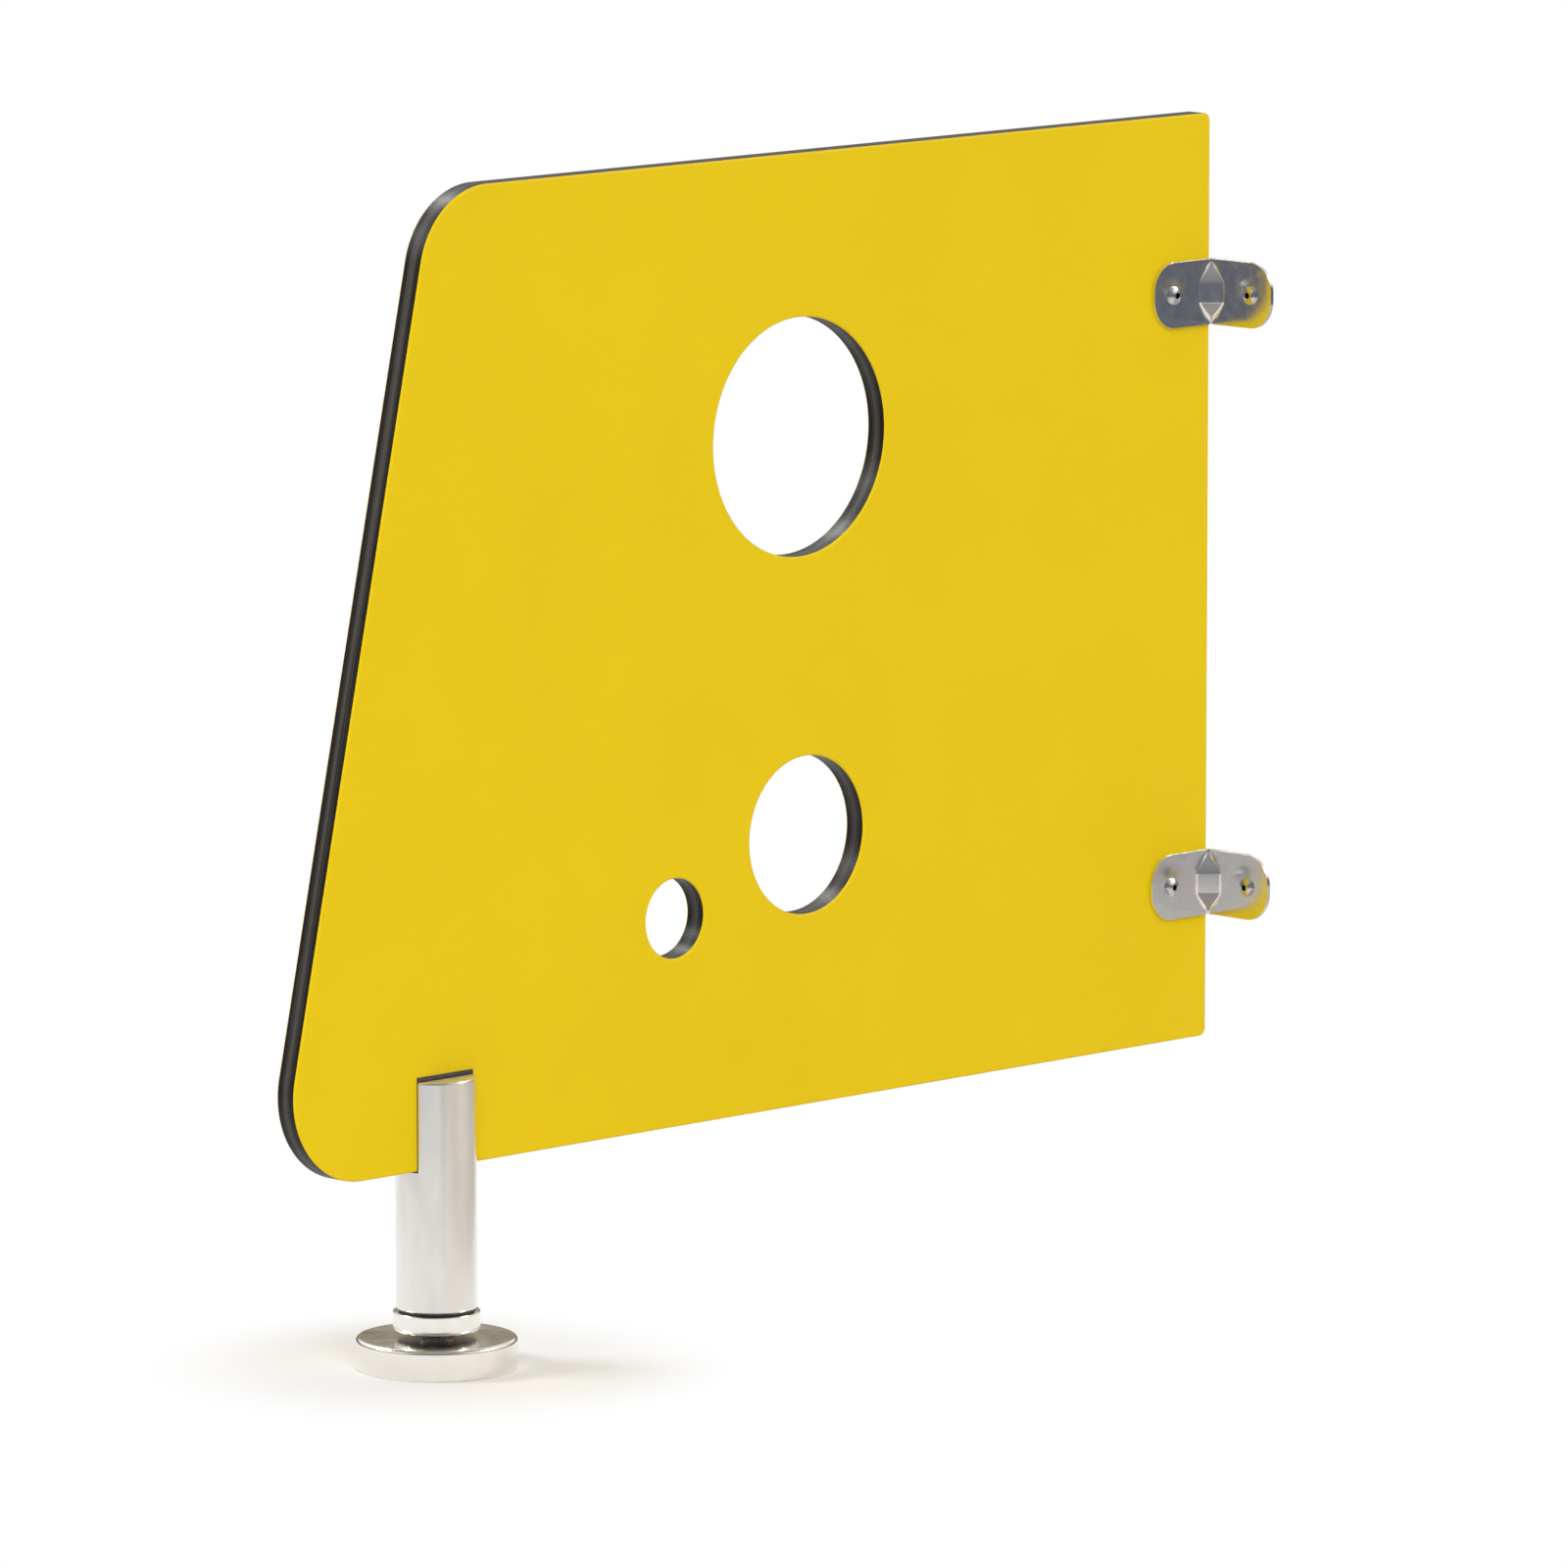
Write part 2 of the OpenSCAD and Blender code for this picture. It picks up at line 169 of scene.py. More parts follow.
def mottle(finish, size, stretch=(1, 1, 1), detail=2.0):
    """An uneven pattern on the piece's own coordinates, its marks about as wide as size."""
    nodes, links = finish.node_tree.nodes, finish.node_tree.links
    place = nodes.new("ShaderNodeTexCoord")
    scale = nodes.new("ShaderNodeMapping")
    scale.inputs["Scale"].default_value = [1 / (size * length) for length in stretch]
    noise = nodes.new("ShaderNodeTexNoise")
    noise.inputs["Scale"].default_value = 1.0
    noise.inputs["Detail"].default_value = detail
    links.new(place.outputs["Object"], scale.inputs["Vector"])
    links.new(scale.outputs["Vector"], noise.inputs["Vector"])
    return noise.outputs["Fac"]


def ramp(tree, pattern, *stops):
    """Colours along a pattern, from (position, colour) stops. A colour may carry an alpha."""
    step = tree.nodes.new("ShaderNodeValToRGB")
    while len(step.color_ramp.elements) < len(stops):
        step.color_ramp.elements.new(0.5)
    for element, (position, colour) in zip(step.color_ramp.elements, stops):
        element.position = position
        element.color = (*colour, 1)[:4]
    tree.links.new(pattern, step.inputs["Fac"])
    return step


def shades(finish, pattern, *stops):
    """Colours the surface along a pattern, from (position, colour) stops."""
    colours = ramp(finish.node_tree, pattern, *stops)
    shader = finish.node_tree.nodes["Principled BSDF"]
    finish.node_tree.links.new(colours.outputs["Color"], shader.inputs["Base Color"])


def polish(finish, pattern, least, most):
    """Varies the roughness along a pattern, most of which lies between 0.3 and 0.7."""
    spread = finish.node_tree.nodes.new("ShaderNodeMapRange")
    for socket, value in (("From Min", 0.3), ("From Max", 0.7), ("To Min", least), ("To Max", most)):
        spread.inputs[socket].default_value = value
    shader = finish.node_tree.nodes["Principled BSDF"]
    finish.node_tree.links.new(pattern, spread.inputs["Value"])
    finish.node_tree.links.new(spread.outputs["Result"], shader.inputs["Roughness"])


def relief(finish, pattern, depth):
    """Raises the surface along a pattern, on top of any relief that it has already."""
    nodes, links = finish.node_tree.nodes, finish.node_tree.links
    bump, shader = nodes.new("ShaderNodeBump"), nodes["Principled BSDF"]
    bump.inputs["Distance"].default_value = depth
    links.new(pattern, bump.inputs["Height"])
    if shader.inputs["Normal"].links:
        links.new(shader.inputs["Normal"].links[0].from_socket, bump.inputs["Normal"])
    links.new(bump.outputs["Normal"], shader.inputs["Normal"])


corners = [Vector((panel_high.x - bottom_width, front_y, panel_low.z)),
           Vector((panel_high.x, front_y, panel_low.z)),
           Vector((panel_high.x, front_y, panel_high.z)),
           Vector((panel_high.x - top_width, front_y, panel_high.z))]
radii = (free_corner, wall_corner, wall_corner, free_corner)
sheet = bmesh.new()
arcs = [rounded_corner(sheet, corners[i - 1], corners[i], corners[(i + 1) % 4], radii[i]) for i in range(4)]
for arc, following in zip(arcs, arcs[1:] + arcs[:1]):
    sheet.edges.new((arc[-1], following[0]))
for diameter, from_wall, up in openings:
    centre = Vector((panel_high.x - from_wall, front_y, panel_low.z + up))
    bmesh.ops.create_circle(sheet, cap_ends=False, segments=least_sides + round(diameter / mm),
                            radius=diameter / 2,
                            matrix=Matrix.Translation(centre) @ Matrix.Rotation(math.pi / 2, 4, "X"))
bmesh.ops.triangle_fill(sheet, use_beauty=True, edges=sheet.edges[:], normal=(0, -1, 0))
raised = bmesh.ops.extrude_face_region(sheet, geom=sheet.faces[:])["geom"]
bmesh.ops.translate(sheet, vec=(0, back_y - front_y, 0), verts=verts_of(raised))
bmesh.ops.recalc_face_normals(sheet, faces=sheet.faces[:])
bevel(sheet, sharp_edges(sheet), rim_ease, segments=6)

# The decor is an even satin yellow, with the fine pearl texture that press plates leave.
yellow = new_finish("yellow_decor", (0.78, 0.55, 0.002), 0.5, specular_ior_level=0.16)
shades(yellow, mottle(yellow, 90 * mm, detail=3), (0.3, (0.768, 0.540, 0.0015)),
       (0.7, (0.792, 0.560, 0.0025)))
polish(yellow, mottle(yellow, 25 * mm, detail=4), 0.46, 0.54)
relief(yellow, mottle(yellow, 0.9 * mm, detail=3), 0.012 * mm)


def arithmetic(tree, operation, *values):
    """A Math node on sockets or plain numbers."""
    step = tree.nodes.new("ShaderNodeMath")
    step.operation = operation
    for socket, value in zip(step.inputs, values):
        if isinstance(value, float):
            socket.default_value = value
        else:
            tree.links.new(value, socket)
    return step.outputs[0]


# The cut edge shows the plies of the core as faint lines and the cutter's marks. Its colour is lighter along
# the middle of the edge and darker near the decor: a painted sheen.
black_core = new_finish("laminate_core", (0.03, 0.028, 0.026), 0.42, specular_ior_level=0.17)
plies = mottle(black_core, 0.3 * mm, stretch=(400, 1, 400), detail=3)
tree = black_core.node_tree
across = tree.nodes.new("ShaderNodeSeparateXYZ")
tree.links.new(tree.nodes["Texture Coordinate"].outputs["Object"], across.inputs["Vector"])
off_middle = arithmetic(tree, "ABSOLUTE", across.outputs["Y"])
# Painted sheen: the edge's colour is lighter along its middle and darker towards both decor faces.
painted_sheen_band = arithmetic(tree, "MULTIPLY_ADD", off_middle, -0.5 / panel_high.y, 0.5)
shades(black_core, arithmetic(tree, "ADD", painted_sheen_band, plies), (0.72, (0.009, 0.008, 0.007)),
       (0.98, (0.066, 0.060, 0.054)))
polish(black_core, mottle(black_core, 8 * mm, detail=4), 0.36, 0.48)
relief(black_core, mottle(black_core, 0.6 * mm, stretch=(1, 40, 1), detail=3), 0.02 * mm)
relief(black_core, plies, 0.01 * mm)

clamp_low, clamp_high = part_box("leg_clamp_screws")
clamp_head_r = (clamp_high.x - clamp_low.x) / 2
clamp_heights = (clamp_low.z + clamp_head_r, clamp_high.z - clamp_head_r)
clamp_clear_r = 3.3 * mm
insert_low, insert_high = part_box("panel_inserts")
insert_r = (insert_high.x - insert_low.x) / 2
insert_x = insert_low.x + insert_r
past = 1 * mm      # a bit runs this far past the face that it opens
for name, node, finish, low_y, high_y in (
        ("panel_core", "core_panel", black_core, panel_low.y, panel_high.y),
        ("panel_front_face", "front_decor", yellow, front_y, panel_low.y),
        ("panel_rear_face", "rear_decor", yellow, panel_high.y, back_y)):
    layer = sheet.copy()
    for side, place in ((-1, low_y), (1, high_y)):
        bisect(layer, (0, place, 0), (0, side, 0), clear=True)
        rim = [e for e in layer.edges if e.is_boundary]
        if rim:
            bmesh.ops.triangle_fill(layer, use_beauty=True, edges=rim, normal=(0, side, 0))
    bmesh.ops.recalc_face_normals(layer, faces=layer.faces[:])
    bits = [bit((0, front_y - past, z), (0, back_y + past, z), clamp_clear_r) for z in clamp_heights]
    if node != "rear_decor":
        for z in (insert_low.z + insert_r, insert_high.z - insert_r):
            bits.append(bit((insert_x, front_y - past, z), (insert_x, insert_high.y, z), insert_r))
    fit_piece(shaped(new_object(name, layer), bits), finish, "panel", [node], crease=30)
sheet.free()

# The leg. A bar of polished stainless steel, bored from below for the screw foot. A slot milled down from
# its top leaves two jaws that grip the panel, and two screws through the rear jaw clamp it there.
post_low, post_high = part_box("leg_post")
post_r = post_high.x
liner_low, liner_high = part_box("slot_liner")
slot_half = liner_high.y
slot_floor = liner_low.z
bush_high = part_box("guide_bush")[1]
bore_r = 8.35 * mm
bore_top = 74.5 * mm
jaw_ease = 0.3 * mm
post_ease = 1.2 * mm
clamp_head_h = 6 * mm
clamp_head_play = 0.25 * mm
clamp_seat = clamp_high.y - clamp_head_h
level = 0.99      # the upright part of a level face's normal is at least this


def raise_faces(bm, faces, height):
    """Draws level faces up by a height, with walls round each."""
    raised = bmesh.ops.extrude_discrete_faces(bm, faces=faces)["faces"]
    bmesh.ops.translate(bm, verts=list({v for f in raised for v in f.verts}), vec=(0, 0, height))
    bmesh.ops.recalc_face_normals(bm, faces=bm.faces[:])


def heights(edge):
    """The lower and the higher end of an edge."""
    return sorted(v.co.z for v in edge.verts)


post = bmesh.new()
bmesh.ops.create_cone(post, cap_ends=True, segments=160, radius1=post_r, radius2=post_r,
                      depth=slot_floor - post_low.z,
                      matrix=Matrix.Translation((0, 0, (slot_floor + post_low.z) / 2)))
for side in (-1, 1):
    bisect(post, (0, side * slot_half, 0), (0, side, 0))
jaws = [f for f in post.faces if f.normal.z > level and abs(f.calc_center_median().y) > slot_half]
raise_faces(post, jaws, post_high.z - slot_floor)
jaw_sides = [e for e in sharp_edges(post) if heights(e)[0] < slot_floor + mm < heights(e)[1]]
bevel(post, jaw_sides, jaw_ease, segments=3)
ends = [e for e in sharp_edges(post)
        if heights(e)[0] > post_high.z - speck or heights(e)[1] < post_low.z + speck]
bevel(post, ends, post_ease, segments=3)
bits = [bit((0, 0, post_low.z - past), (0, 0, bush_high.z), bush_high.x),
        bit((0, 0, post_low.z - past), (0, 0, bore_top), bore_r)]
for z in clamp_heights:
    bits.append(bit((0, clamp_seat, z), (0, post_r + past, z), clamp_head_r + clamp_head_play))
    bits.append(bit((0, clamp_low.y, z), (0, clamp_seat + past, z), clamp_clear_r))

# Its finish is a fine grind: rings round the bar that stretch each reflection along it, and a faint haze.
ground = new_finish("ground_stainless", (0.87, 0.85, 0.805), 0.3, metallic=1.0)


def ringed(finish, strength):
    """Stretches the gloss across the rings that a lathe or a grinder leaves round the leg's axis."""
    nodes, links = finish.node_tree.nodes, finish.node_tree.links
    place = nodes.new("ShaderNodeTexCoord")
    around = nodes.new("ShaderNodeVectorMath")
    around.operation = "CROSS_PRODUCT"
    around.inputs[0].default_value = (0, 0, 1)
    turned = nodes.new("ShaderNodeVectorTransform")
    turned.vector_type = "VECTOR"
    turned.convert_from = "OBJECT"
    turned.convert_to = "WORLD"
    shader = nodes["Principled BSDF"]
    shader.inputs["Anisotropic"].default_value = strength
    shader.inputs["Anisotropic Rotation"].default_value = 0.25
    links.new(place.outputs["Object"], around.inputs[1])
    links.new(around.outputs[0], turned.inputs[0])
    links.new(turned.outputs[0], shader.inputs["Tangent"])


ringed(ground, 0.75)
polish(ground, mottle(ground, 7 * mm, stretch=(1, 1, 3), detail=4), 0.2, 0.26)
relief(ground, mottle(ground, 0.25 * mm, stretch=(60, 60, 1), detail=4), 0.003 * mm)
sawn = new_finish("sawn_stainless", (0.72, 0.71, 0.68), 0.5, metallic=1.0)
polish(sawn, mottle(sawn, 2 * mm, stretch=(1, 6, 1), detail=3), 0.42, 0.55)
post = shaped(new_object("slotted_leg", post), bits)
fit_piece(post, ground, "panel", ["leg_post"])
post.data.materials.append(sawn)
for face in post.data.polygons:
    face.material_index = int(abs(face.normal.z) > level)

# The slot liner. A strip of black rubber folded round the panel's bottom edge, so that the jaws grip the
# laminate without bruising it. It stands a little above the jaws, and its lips are soft.
liner_r = liner_high.x
lip_ease = 0.25 * mm
strip = bmesh.new()
bmesh.ops.create_circle(strip, cap_ends=True, segments=160, radius=liner_r,
                        matrix=Matrix.Translation((0, 0, liner_low.z)))
for side in (-1, 1):
    bisect(strip, (0, side * slot_half, 0), (0, side, 0), clear=True)
    bisect(strip, (0, side * back_y, 0), (0, side, 0))
raised = bmesh.ops.extrude_face_region(strip, geom=strip.faces[:])["geom"]
bmesh.ops.translate(strip, vec=(0, 0, panel_low.z - liner_low.z), verts=verts_of(raised))
lips = [f for f in strip.faces if f.calc_center_median().z > panel_low.z - speck
        and abs(f.calc_center_median().y) > back_y]
raise_faces(strip, lips, liner_high.z - panel_low.z)
bevel(strip, [e for e in strip.edges if heights(e)[0] > liner_high.z - speck], lip_ease, segments=3)
bits = [bit((0, -slot_half - past, z), (0, slot_half + past, z), clamp_clear_r) for z in clamp_heights]
rubber = new_finish("black_rubber", (0.070, 0.052, 0.049), 0.6, specular_ior_level=0.4)
shades(rubber, mottle(rubber, 4 * mm, detail=4), (0.3, (0.062, 0.046, 0.043)),
       (0.7, (0.078, 0.058, 0.055)))
polish(rubber, mottle(rubber, 3 * mm, detail=3), 0.5, 0.7)
relief(rubber, mottle(rubber, 0.3 * mm, detail=3), 0.02 * mm)
fit_piece(shaped(new_object("slot_lining", strip), bits), rubber, "panel", ["slot_liner"])

# The clamp screws. Two socket screws of bright steel, let in behind the rear jaw and tapped into the front
# one. Their threads are rolled, with the ridge drawn here as one unbroken helix. The insides of their
# sockets
# are painted dark: painted shade.
rolled = new_finish("bright_screw_steel", (0.62, 0.62, 0.63), 0.24, metallic=1.0)
polish(rolled, mottle(rolled, 1.2 * mm, detail=4), 0.18, 0.32)
relief(rolled, mottle(rolled, 0.15 * mm, detail=3), 0.004 * mm)
# A dark steel for insides that lie in shade: its dark colour is painted shade, its roughness a rough turned
# face.
shade_steel = new_finish("painted_shade_steel", (0.12, 0.115, 0.11), 0.5, metallic=1.0)
polish(shade_steel, mottle(shade_steel, 1.5 * mm, detail=3), 0.44, 0.56)
relief(shade_steel, mottle(shade_steel, 0.3 * mm, stretch=(30, 30, 1), detail=3), 0.01 * mm)


def ring(*corners, steps=128):
    """A piece turned about its own Z axis. Each corner of its section is (radius, height, rounding)."""
    bm = bmesh.new()
    bm.faces.new([bm.verts.new((radius, 0, height)) for radius, height, rounding in corners])
    for vert, (radius, height, rounding) in zip(list(bm.verts), corners):
        if rounding:
            bmesh.ops.bevel(bm, geom=[vert], offset=rounding, offset_type="OFFSET", segments=6, profile=0.5,
                            affect="VERTICES", material=-1)
    bmesh.ops.spin(bm, geom=bm.edges[:], cent=(0, 0, 0), axis=(0, 0, 1), angle=math.tau, steps=steps,
                   use_merge=True)
    section = [f for f in bm.faces if all(abs(v.co.y) < speck / 1000 for v in f.verts)]
    bmesh.ops.delete(bm, geom=section, context="FACES_ONLY")
    bmesh.ops.remove_doubles(bm, verts=bm.verts[:], dist=speck)
    bmesh.ops.dissolve_degenerate(bm, dist=speck / 10, edges=bm.edges[:])
    bmesh.ops.recalc_face_normals(bm, faces=bm.faces[:])
    return bm


def thread(radius, pitch, low, high, steps=32):
    """A threaded rod along Z: one ridge's section, swept up a helix and cut off square. The numbers are
    shares of the pitch, as in any metric thread, and the sweep starts and ends past the rod."""
    depth, crest, root_start, root_end = 0.6134, 0.125, 0.4375, 0.6875
    lead_in, spare_turns = 1.5, 2
    bm = bmesh.new()
    root = radius - depth * pitch
    section = [(radius, 0), (radius, crest), (root, root_start), (root, root_end), (radius, 1)]
    points = [bm.verts.new((r, 0, low + (share - lead_in) * pitch)) for r, share in section]
    ridge = [bm.edges.new(pair) for pair in zip(points, points[1:])]
    turns = math.ceil((high - low) / pitch) + spare_turns
    bmesh.ops.spin(bm, geom=ridge, cent=(0, 0, 0), axis=(0, 0, 1), dvec=(0, 0, pitch / steps),
                   angle=math.tau * turns, steps=steps * turns)
    bmesh.ops.remove_doubles(bm, verts=bm.verts[:], dist=pitch / 1000)
    for side, place in ((-1, low), (1, high)):
        bisect(bm, (0, 0, place), (0, 0, side), clear=True)
        rim = [e for e in bm.edges if e.is_boundary and all(abs(v.co.z - place) < speck for v in e.verts)]
        bmesh.ops.triangle_fill(bm, use_beauty=True, edges=rim, normal=(0, 0, side))
    bmesh.ops.recalc_face_normals(bm, faces=bm.faces[:])
    return bm


def paint_socket_shade(screw, place, radius, height):
    """Gives the inside of a screw's socket the dark steel that paints its shade: what lies within its
    radius, between the head's seat, where place is, and just under its top."""
    screw.data.materials.append(shade_steel)
    top = -0.9 * height
    for face in screw.data.polygons:
        middle = place.inverted() @ face.center
        face.material_index = int(middle.xy.length < radius and top < middle.z < 0)


clamp_r = 3 * mm
clamp_pitch = 1 * mm
clamp_key_r = 2.875 * mm
clamp_top_ease = 0.4 * mm
clamp_seat_ease = 0.2 * mm
screw_overlap = 0.2 * mm      # the shank starts this far inside the head
for number, z in enumerate(clamp_heights):
    place = Matrix.Translation((0, clamp_seat, z)) @ Matrix.Rotation(math.pi / 2, 4, "X")
    head = ring((0, -clamp_head_h, 0), (clamp_head_r, -clamp_head_h, clamp_top_ease),
                (clamp_head_r, 0, clamp_seat_ease), (0, 0, 0), steps=64)
    shank = thread(clamp_r, clamp_pitch, -screw_overlap, clamp_seat - clamp_low.y)
    for part in (head, shank):
        bmesh.ops.transform(part, matrix=place, verts=part.verts[:])
    screw = shaped(new_object(f"clamp_screw_{number + 1}", head), [new_object("shank", shank)], "UNION")
    socket = bit((0, clamp_seat + clamp_head_h / 2, z), (0, clamp_high.y + past, z), clamp_key_r, sides=6)
    fit_piece(shaped(screw, [socket]), rolled, "panel", ["leg_clamp_screws"])
    paint_socket_shade(screw, place, clamp_key_r, clamp_head_h)

# The guide bush and the thrust washer. The bush is natural nylon, pressed into the bore to steady the
# stud. The washer is black nylon, so that the post turns on the collar without a squeak.
nylon = new_finish("natural_nylon", (0.78, 0.76, 0.70), 0.45, subsurface_weight=0.1)
polish(nylon, mottle(nylon, 2 * mm, detail=3), 0.4, 0.52)
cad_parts["guide_bush"].data.materials[0] = nylon
washer_low, washer_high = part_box("thrust_washer")
washer_rim_ease = 0.25 * mm
washer_bore_ease = 0.1 * mm
washer = ring((bore_r, washer_low.z, washer_bore_ease), (washer_high.x, washer_low.z, washer_rim_ease),
              (washer_high.x, washer_high.z, washer_rim_ease), (bore_r, washer_high.z, washer_bore_ease))
black_nylon = new_finish("black_nylon", (0.016, 0.015, 0.015), 0.4)
polish(black_nylon, mottle(black_nylon, 1.5 * mm, detail=3), 0.34, 0.48)
fit_piece(new_object("black_washer", washer), black_nylon, "panel", ["thrust_washer"])

# The adjusting collar. A round nut of bright stainless steel, turned by hand to raise or lower the panel.
# Its lower edge is well rounded for the fingers. Its underside is rough as the lathe cut it, and it and the
# bore
# # are painted dark: painted shade.
collar_low, collar_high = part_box("adjusting_collar")
stud_low, stud_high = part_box("threaded_stud")
stud_r = stud_high.x
stud_play = 0.05 * mm
bore_ease = 0.3 * mm
finger_round = 2.5 * mm
collar_top_ease = 0.5 * mm
collar_bore = stud_r + stud_play
collar = ring((collar_bore, collar_low.z, bore_ease), (collar_high.x, collar_low.z, finger_round),
              (collar_high.x, collar_high.z, collar_top_ease), (collar_bore, collar_high.z, bore_ease),
              steps=160)
spun = new_finish("spun_stainless", (0.90, 0.875, 0.82), 0.16, metallic=1.0)
ringed(spun, 0.5)
polish(spun, mottle(spun, 9 * mm, detail=4), 0.12, 0.2)
relief(spun, mottle(spun, 0.3 * mm, stretch=(60, 60, 1), detail=3), 0.002 * mm)
collar = new_object("round_collar", collar)
fit_piece(collar, spun, "collar", ["adjusting_collar"])
collar.data.materials.append(shade_steel)
bore_wall = 0.2 * mm      # a face nearer than this to the bore belongs to it
# Painted shade: the underside and the bore get the dark steel.
for face in collar.data.polygons:
    face.material_index = int(face.normal.z < -level or face.center.xy.length < collar_bore + bore_wall)

# The stud. A length of M16 rod with a 2 mm pitch, screwed into the floor flange and locked there. The
# collar rides up and down its thread, which shows between the collar and the cover.
stud_pitch = 2 * mm
stud = thread(stud_r, stud_pitch, stud_low.z, stud_high.z, steps=64)
fit_piece(new_object("threaded_rod", stud), rolled, "foot", ["threaded_stud"])

# The foot. A turned steel flange is screwed to the floor over a rubber pad. The locknut holds the stud in
# it. A polished cover, drawn from one sheet, drops over all three and hides the floor screws.
turned_steel = new_finish("turned_steel", (0.52, 0.52, 0.52), 0.35, metallic=1.0)
relief(turned_steel, mottle(turned_steel, 0.3 * mm, stretch=(30, 30, 1), detail=3), 0.01 * mm)
polish(turned_steel, mottle(turned_steel, 3 * mm, detail=3), 0.28, 0.42)
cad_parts["base_flange"].data.materials[0] = turned_steel
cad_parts["stud_locknut"].data.materials[0] = rolled
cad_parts["floor_pad"].data.materials[0] = rubber
cover_low, cover_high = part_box("cover_rosette")
cover_r = cover_high.x
cover_wall = 1.5 * mm
cover_round = 2 * mm
cover_foot_ease = 0.5 * mm
cover_inner_ease = 0.2 * mm
inner_r = cover_r - cover_wall
inner_top = cover_high.z - cover_wall
cover = ring((inner_r, cover_low.z, cover_inner_ease), (cover_r, cover_low.z, cover_foot_ease),
             (cover_r, cover_high.z, cover_round), (bore_r, cover_high.z, bore_ease),
             (bore_r, inner_top, bore_ease), (inner_r, inner_top, cover_round - cover_wall), steps=192)
fit_piece(new_object("drawn_cover", cover), spun, "foot", ["cover_rosette"])

# The wall brackets. Each is cut from 2 mm bright stainless sheet, bent square, and stiffened by a gusset
# pressed out of the bend: an upright web across the corner that folds back into it above and below.
bracket_steel = new_finish("pressed_stainless", (0.84, 0.84, 0.85), 0.14, metallic=1.0)
polish(bracket_steel, mottle(bracket_steel, 5 * mm, detail=4), 0.12, 0.22)
relief(bracket_steel, mottle(bracket_steel, 6 * mm, detail=1), 0.03 * mm)
relief(bracket_steel, mottle(bracket_steel, 0.2 * mm, stretch=(1, 1, 14), detail=3), 0.003 * mm)
sheet_t = 2 * mm
bend_r = 2.5 * mm         # to the middle of the sheet, as are the next two
fold_r = 3 * mm           # beside the gusset's upright band
tip_r = 9 * mm            # towards its tips
end_round = 15 * mm
plain_bend = bend_r * (2 - math.sqrt(2))
web_reach = 9.4 * mm
web_half = 5 * mm
web_tip = 15 * mm
web_swell = 1.12          # above 1, the web leaves its upright band by a soft turn
hole_in = 29.5 * mm
hole_r = 2.75 * mm
deburr = 0.15 * mm


def half_section(chamfer, length):
    """One half of a bracket's level section, from the middle of the web to the end of the flange:
    (distance along the flange, distance off it), measured from the sheet's middle lines."""
    web_steps, fold_steps, flange_steps, tip_steps = 8, 8, 10, 14
    turn = math.pi / 4
    radius = min(fold_r + (tip_r - fold_r) * (1 - chamfer / web_reach), chamfer * bend_r / plain_bend)
    ease = radius * math.tan(turn / 2)
    web_end = chamfer / 2 - ease * math.sqrt(0.5)
    web = [(chamfer / 2 + step / web_steps * web_end, chamfer / 2 - step / web_steps * web_end)
           for step in range(web_steps)]
    fold = [(chamfer + ease - radius * math.sin(angle), radius * (1 - math.cos(angle)))
            for angle in (turn * (1 - step / fold_steps) for step in range(fold_steps))]
    start, round_start = chamfer + ease, length - end_round
    flange = [(start + (round_start - start) * step / flange_steps, 0) for step in range(flange_steps)]
    tip = [(round_start + end_round * math.sin(math.pi / 2 * step / tip_steps), 0)
           for step in range(tip_steps + 1)]
    return web + fold + flange + tip


for node in ("upper_bracket", "lower_bracket"):
    low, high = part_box(node)
    corner_x = high.x - sheet_t / 2
    corner_y = high.y - sheet_t / 2
    middle_z = (low.z + high.z) / 2
    half_height = (high.z - low.z) / 2
    length = corner_x - low.x
    columns = len(half_section(plain_bend, length)) - 1
    blank = bmesh.new()
    bmesh.ops.create_grid(blank, x_segments=2 * columns, y_segments=64, size=1)
    for vert in blank.verts:
        column = round(vert.co.x * columns)
        height = vert.co.y * half_height
        share = min(1, max(0, (web_tip - abs(height)) / (web_tip - web_half)))
        chamfer = plain_bend + (web_reach - plain_bend) * (1 - (1 - share) ** web_swell)
        along, off = half_section(chamfer, length)[abs(column)]
        over = max(0, along - (length - end_round))
        narrowed = (half_height - end_round + math.sqrt(max(0, end_round ** 2 - over ** 2))) / half_height
        if column > 0:
            along, off = off, along
        vert.co = Vector((corner_x - along, corner_y - off, middle_z + height * narrowed))
    bmesh.ops.remove_doubles(blank, verts=blank.verts[:], dist=speck)
    bmesh.ops.dissolve_limit(blank, angle_limit=math.radians(0.5), verts=blank.verts[:],
                             edges=blank.edges[:])
    bmesh.ops.recalc_face_normals(blank, faces=blank.faces[:])
    bracket = new_object(node.replace("bracket", "wall_bracket"), blank)
    thicken = bracket.modifiers.new("sheet", "SOLIDIFY")
    thicken.thickness = sheet_t
    thicken.offset = 0
    thicken.use_even_offset = True
    both_sides = 2 * len(bracket.data.polygons)      # the faces that follow are those of the cut edge
    pressing = bmesh.new()
    pressing.from_mesh(shaped(bracket).data)
    burrs = [e for e in pressing.edges if sum(f.index >= both_sides for f in e.link_faces) == 1]
    bevel(pressing, burrs, deburr, segments=4)
    bmesh.ops.remove_doubles(pressing, verts=pressing.verts[:], dist=speck)
    bmesh.ops.dissolve_degenerate(pressing, dist=speck, edges=pressing.edges[:])
    pressing.to_mesh(bracket.data)
    pressing.free()
    hole_x, hole_y = high.x - hole_in, high.y - hole_in
    bits = [bit((hole_x, high.y - sheet_t - past, middle_z), (hole_x, high.y + past, middle_z), hole_r),
            bit((high.x - sheet_t - past, hole_y, middle_z), (high.x + past, hole_y, middle_z), hole_r)]
    fit_piece(shaped(bracket, bits), bracket_steel, "panel", [node])

